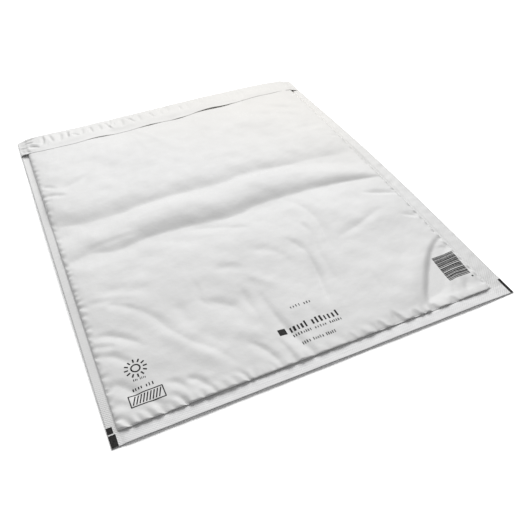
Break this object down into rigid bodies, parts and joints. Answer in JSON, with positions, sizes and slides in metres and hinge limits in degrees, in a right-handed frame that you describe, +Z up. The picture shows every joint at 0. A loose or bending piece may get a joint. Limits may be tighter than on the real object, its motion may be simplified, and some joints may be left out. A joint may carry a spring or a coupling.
{
  "type": "padded mailing envelope",
  "caption": "closed padded mailing envelope lying flat: soft creased body, welded side seams, flat bottom strip and a folded-over flap",
  "frame": {"origin": "on the surface the envelope lies on, at the middle of its outline", "axes": "+Z up, off the table; +Y along the length, from the welded bottom strip to the folded flap; +X across the width, to the right when the flap is at the top"},
  "size_m": [0.37, 0.48, 0.0121],
  "materials": {
    "envelope": "white polyethylene film with a soft satin sheen"
  },
  "bodies": {
    "root": {"envelope": "envelope"}
  },
  "joints": []
}
